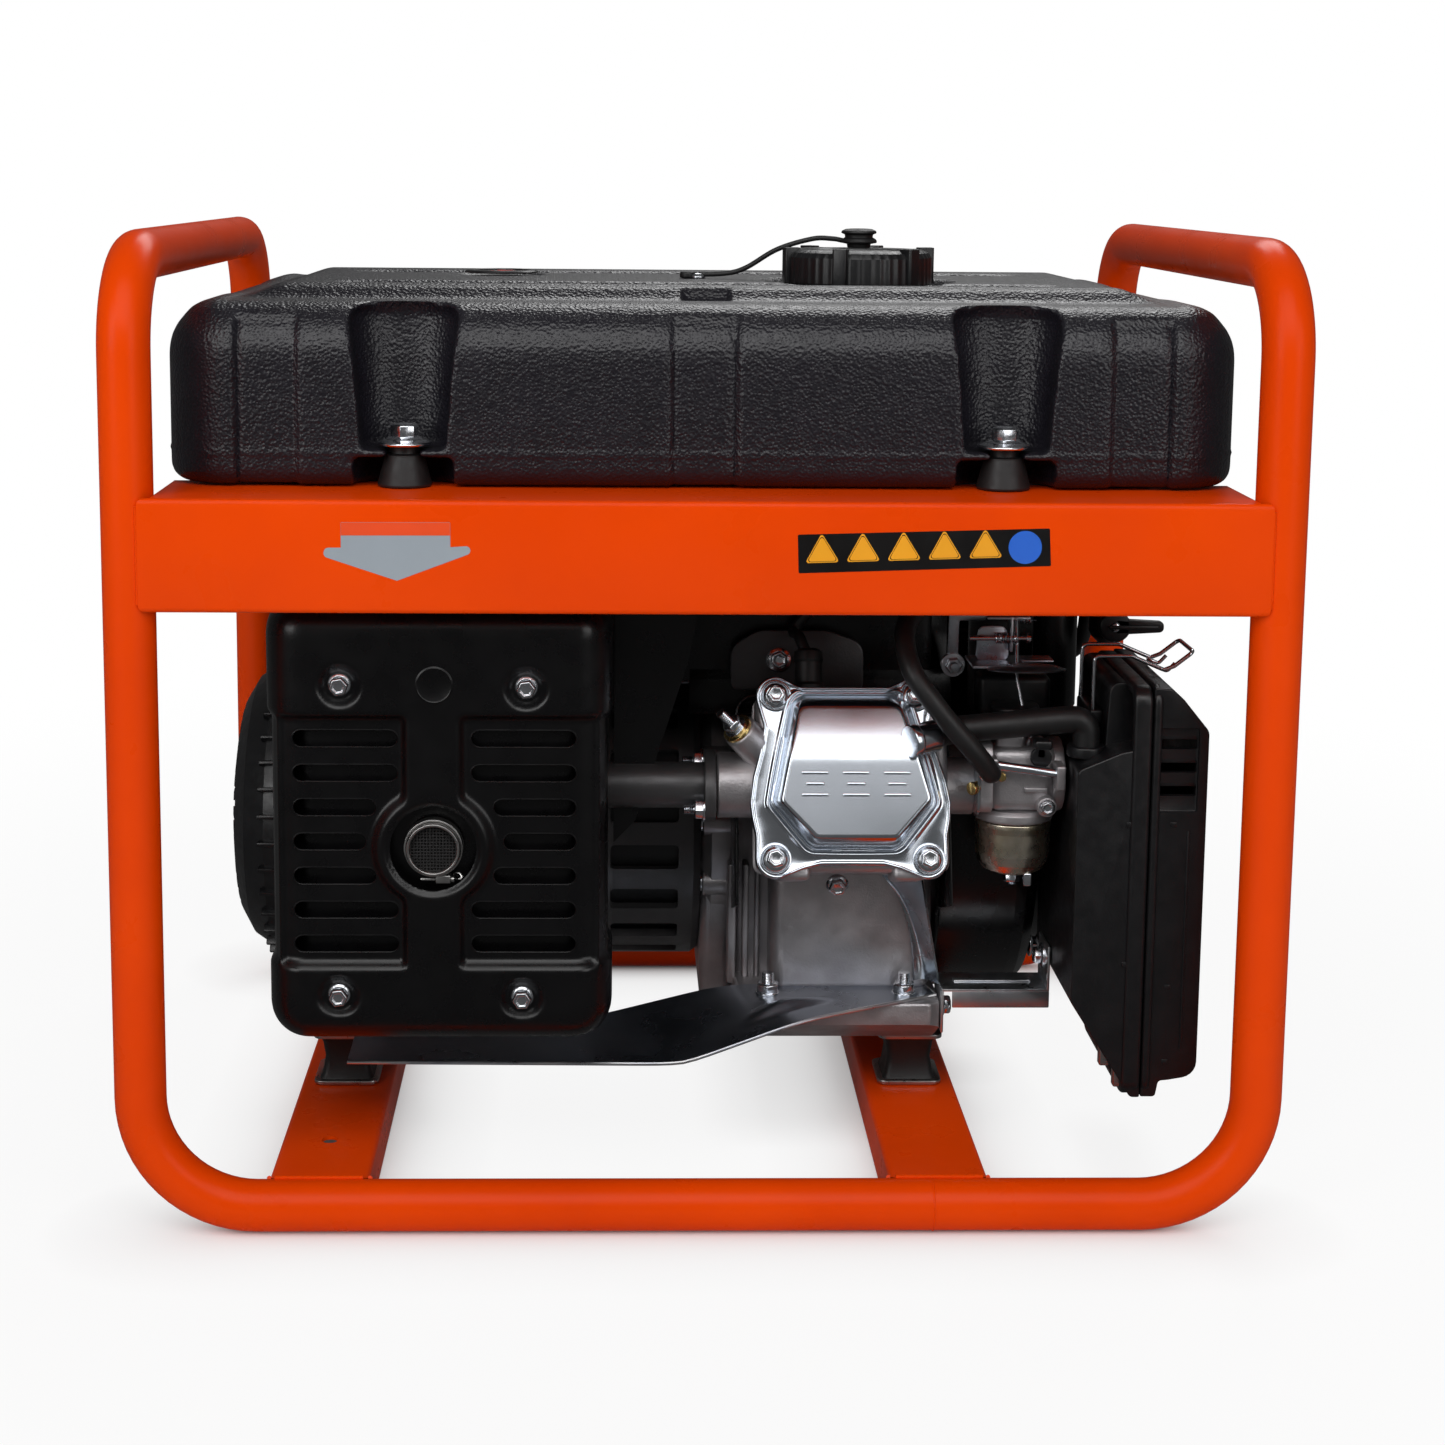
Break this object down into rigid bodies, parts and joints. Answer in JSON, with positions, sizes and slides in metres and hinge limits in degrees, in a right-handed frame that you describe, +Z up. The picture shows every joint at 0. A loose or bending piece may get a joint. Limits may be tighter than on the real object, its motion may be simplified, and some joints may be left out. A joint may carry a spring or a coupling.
{
  "type": "portable generator",
  "caption": "Open-frame portable petrol generator: bent-tube cage, plastic tank on folded beams, and an air-cooled engine driving an alternator.",
  "frame": {"origin": "on the ground under the middle of the whole object", "axes": "+X along the shaft from the alternator to the engine's starter, +Y towards the control panel, +Z up; the cylinder and the silencer face -Y"},
  "size_m": [0.5828, 0.4254, 0.4971],
  "materials": {
    "orange_paint": "satin orange powder coat",
    "tank_plastic": "fine-grained moulded plastic",
    "black_plastic": "moulded plastic, lightly grained",
    "black_enamel": "black heat-resistant enamel",
    "rubber": "plain black rubber",
    "cast_aluminium": "as-cast with machined edges",
    "zinc_plate": "zinc-plated steel",
    "chrome": "bright-plated pressed steel",
    "cast_iron": "machined iron and laminated steel",
    "foam": "open-cell foam",
    "red_plastic": "gloss plastic"
  },
  "bodies": {
    "chassis": {"air_filter_base": "black_plastic", "air_filter_bracket": "zinc_plate", "air_filter_element": "foam", "alternator_end_cover": "black_plastic", "alternator_front_bracket": "cast_aluminium", "alternator_rear_bracket": "cast_aluminium", "breather_hose": "rubber", "cap_tether": "rubber", "carburetor": "cast_aluminium", "control_panel": "black_enamel", "crankcase": "cast_aluminium", "crankcase_cover": "cast_aluminium", "cross_channel_left": "orange_paint", "cross_channel_right": "orange_paint", "cylinder_head": "cast_aluminium", "exhaust_pipe": "black_enamel", "fan_shroud": "black_enamel", "float_bowl": "zinc_plate", "front_beam": "orange_paint", "fuel_cock": "black_plastic", "fuel_gauge": "black_plastic", "fuel_hose": "rubber", "fuel_tank": "tank_plastic", "muffler_body": "black_enamel", "muffler_bracket": "zinc_plate", "muffler_guard": "black_enamel", "rear_beam": "orange_paint", "recoil_cover": "black_enamel", "rubber_mount_front_left": "rubber", "rubber_mount_front_right": "rubber", "rubber_mount_rear_left": "rubber", "rubber_mount_rear_right": "rubber", "spark_plug": "rubber", "starter_rope": "rubber", "stator": "cast_iron", "tank_bolt_front_left": "zinc_plate", "tank_bolt_front_right": "zinc_plate", "tank_bolt_rear_left": "zinc_plate", "tank_bolt_rear_right": "zinc_plate", "tube_frame": "orange_paint", "valve_cover": "chrome"},
    "cap_knob": {"cap_knob": "rubber"},
    "fuel_cap": {"fuel_cap": "black_plastic"},
    "fuel_cock_lever": {"fuel_cock_lever": "black_plastic"},
    "choke_lever": {"choke_lever": "black_plastic"},
    "governor_arm": {"governor_arm": "zinc_plate"},
    "crank": {"crankshaft": "cast_iron", "rotor": "cast_iron", "flywheel": "cast_aluminium"},
    "piston": {"piston": "cast_aluminium"},
    "starter_grip": {"starter_grip": "rubber"},
    "recoil_pulley": {"recoil_pulley": "black_plastic"},
    "air_filter_cover": {"air_filter_cover": "black_plastic"},
    "air_filter_clip": {"air_filter_clip": "zinc_plate"},
    "oil_dipstick": {"oil_dipstick": "black_plastic"},
    "engine_switch": {"engine_switch": "red_plastic"},
    "breaker_button": {"breaker_button": "red_plastic"},
    "socket_flap_left": {"socket_flap_left": "black_plastic"},
    "socket_flap_right": {"socket_flap_right": "black_plastic"}
  },
  "joints": [
    {"name": "cap_lift", "type": "slide", "parent": "chassis", "child": "cap_knob", "axis": [0, 0, 1], "range_m": [0, 0.035], "deforming": ["cap_tether"]},
    {"name": "cap_turn", "type": "hinge", "parent": "cap_knob", "child": "fuel_cap", "pos_m": [0.089, -0.02, 0.475], "axis": [0, 0, 1], "range_deg": [0, 90]},
    {"name": "fuel_cock_turn", "type": "hinge", "parent": "chassis", "child": "fuel_cock_lever", "pos_m": [0.232, -0.0483, 0.28], "axis": [0, 1, 0], "range_deg": [0, 90]},
    {"name": "choke_turn", "type": "hinge", "parent": "chassis", "child": "choke_lever", "pos_m": [0.176, -0.1418, 0.229], "axis": [0, 1, 0], "range_deg": [0, 40]},
    {"name": "governor_swing", "type": "hinge", "parent": "chassis", "child": "governor_arm", "pos_m": [0.138, -0.08, 0.265], "axis": [0, 1, 0], "range_deg": [-12, 15], "stiffness_Nm_per_rad": 0.05},
    {"name": "crank_spin", "type": "hinge", "parent": "chassis", "child": "crank", "pos_m": [0.08, 0.02, 0.16], "axis": [1, 0, 0], "continuous": true},
    {"name": "piston_stroke", "type": "slide", "parent": "chassis", "child": "piston", "axis": [0, 0.9455, -0.3256], "range_m": [0, 0.054]},
    {"name": "recoil_pull", "type": "slide", "parent": "chassis", "child": "starter_grip", "axis": [0, 1, 0], "range_m": [0, 0.45], "stiffness_N_per_m": 15, "deforming": ["starter_rope"]},
    {"name": "recoil_pulley_turn", "type": "hinge", "parent": "chassis", "child": "recoil_pulley", "pos_m": [0.2035, 0.02, 0.16], "axis": [1, 0, 0], "range_deg": [-530, 0]},
    {"name": "filter_cover_off", "type": "slide", "parent": "chassis", "child": "air_filter_cover", "axis": [1, 0, 0], "range_m": [0, 0.06]},
    {"name": "filter_clip_turn", "type": "hinge", "parent": "chassis", "child": "air_filter_clip", "pos_m": [0.2045, -0.114, 0.248], "axis": [0, 1, 0], "range_deg": [-80, 0]},
    {"name": "dipstick_out", "type": "slide", "parent": "chassis", "child": "oil_dipstick", "axis": [0, 0.6428, 0.766], "range_m": [0, 0.05]},
    {"name": "engine_switch_rock", "type": "hinge", "parent": "chassis", "child": "engine_switch", "pos_m": [-0.06, 0.197, 0.236], "axis": [1, 0, 0], "range_deg": [-9, 9]},
    {"name": "breaker_press", "type": "slide", "parent": "chassis", "child": "breaker_button", "axis": [0, -1, 0], "range_m": [0, 0.003], "stiffness_N_per_m": 300},
    {"name": "socket_flap_left_open", "type": "hinge", "parent": "chassis", "child": "socket_flap_left", "pos_m": [-0.175, 0.207, 0.27], "axis": [1, 0, 0], "range_deg": [0, 110], "stiffness_Nm_per_rad": 0.01},
    {"name": "socket_flap_right_open", "type": "hinge", "parent": "chassis", "child": "socket_flap_right", "pos_m": [-0.115, 0.207, 0.27], "axis": [1, 0, 0], "range_deg": [0, 110], "stiffness_Nm_per_rad": 0.01}
  ],
  "couplings": [
    {"joint": "recoil_pulley_turn", "follows": "recoil_pull", "rad_per_m": -20.284}
  ]
}
